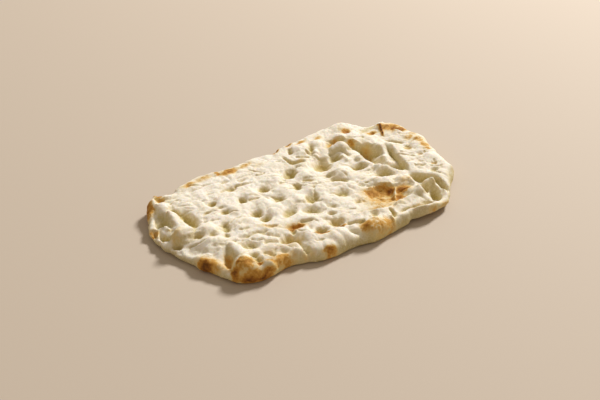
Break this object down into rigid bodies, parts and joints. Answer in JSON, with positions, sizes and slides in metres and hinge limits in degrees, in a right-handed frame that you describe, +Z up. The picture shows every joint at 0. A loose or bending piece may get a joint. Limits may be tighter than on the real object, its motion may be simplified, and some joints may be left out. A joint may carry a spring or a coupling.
{
  "type": "pinsa crust",
  "caption": "Long oval flatbread crust, pale and floury, dimpled all over by fingertips, with a puffed, folded and scorched rim.",
  "frame": {"origin": "middle of the crust's box, on the surface it rests on", "axes": "+X along the crust towards its puffed, folded end, +Z up out of the dimpled top"},
  "size_m": [0.316, 0.1837, 0.0215],
  "materials": {
    "crust": "dry baked dough, dusted with flour, matt"
  },
  "bodies": {
    "root": {"crust": "crust"}
  },
  "joints": []
}
